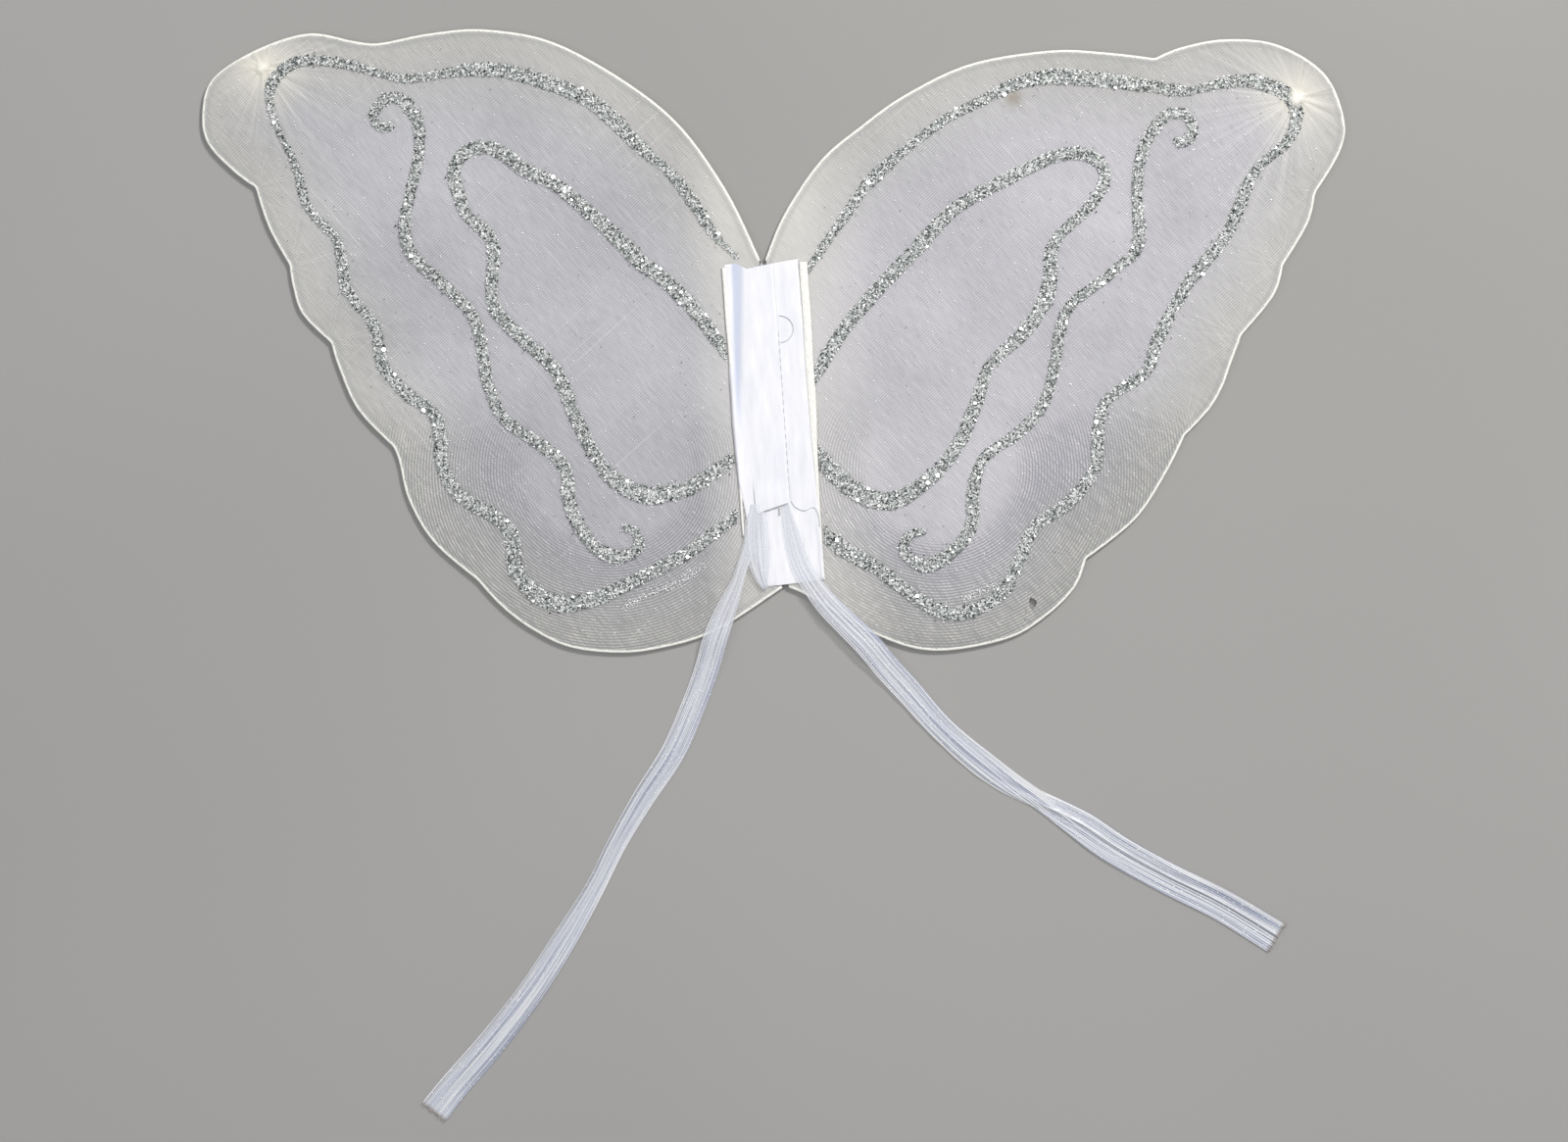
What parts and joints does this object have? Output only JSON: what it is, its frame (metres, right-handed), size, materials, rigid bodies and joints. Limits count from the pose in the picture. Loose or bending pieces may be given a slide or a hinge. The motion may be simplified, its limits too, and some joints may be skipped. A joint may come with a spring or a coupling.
{
  "type": "fairy wings",
  "caption": "Dress-up fairy wings: sheer nylon over scalloped wire loops with glitter scrolls, a white fabric spine and tie ribbons; the wings fold up at the spine.",
  "frame": {"origin": "centre of the backing panel's underside, midway between the two root wires and between their ends", "axes": "+X to the right wing's tip, +Y towards the upper lobes, +Z out of the ribbon side; the wings lie flat in the XY plane"},
  "size_m": [0.6032, 0.577, 0.0061],
  "materials": {
    "white_cover": "plain white woven fabric",
    "lashing_thread": "twisted thread",
    "seam_thread": "fine white sewing thread",
    "organza": "sheer shiny organza",
    "frame_wire": "drawn soft wire",
    "splice": "crimped",
    "sheer_nylon": "stretched fine knit",
    "gathered_nylon": "many layers of fine knit",
    "glitter": "silver flakes in clear glue"
  },
  "bodies": {
    "spine": {"back_panel": "white_cover", "upper_lashing": "lashing_thread", "middle_lashing": "lashing_thread", "lower_lashing": "lashing_thread", "ribbon_tack": "seam_thread", "left_ribbon": "organza", "right_ribbon": "organza"},
    "left_wing": {"left_rim_wire": "frame_wire", "left_root_wire": "frame_wire", "left_wire_splice": "splice", "left_back_nylon": "sheer_nylon", "left_front_nylon": "sheer_nylon", "left_tip_tuft": "gathered_nylon", "left_tip_tie": "seam_thread", "left_border_glitter": "glitter", "left_teardrop_glitter": "glitter", "left_scroll_glitter": "glitter", "left_cover_half": "white_cover", "left_cover_welt": "gathered_nylon", "fold_flap": "white_cover"},
    "right_wing": {"right_rim_wire": "frame_wire", "right_root_wire": "frame_wire", "right_wire_splice": "splice", "right_back_nylon": "sheer_nylon", "right_front_nylon": "sheer_nylon", "right_tip_tuft": "gathered_nylon", "right_tip_tie": "seam_thread", "right_border_glitter": "glitter", "right_teardrop_glitter": "glitter", "right_scroll_glitter": "glitter", "right_cover_half": "white_cover", "right_cover_welt": "gathered_nylon", "seam_stitches": "seam_thread", "loose_thread": "seam_thread"}
  },
  "joints": [
    {"name": "left_wing_fold", "type": "hinge", "parent": "spine", "child": "left_wing", "pos_m": [-0.002, -0.00014, 0.00225], "axis": [-0.0698, 0.9976, 0], "range_deg": [0, 75], "deforming": ["left_ribbon"]},
    {"name": "right_wing_fold", "type": "hinge", "parent": "spine", "child": "right_wing", "pos_m": [0.002, 0.00014, 0.00225], "axis": [0.0698, -0.9976, 0], "range_deg": [0, 75], "deforming": ["right_ribbon"]}
  ]
}
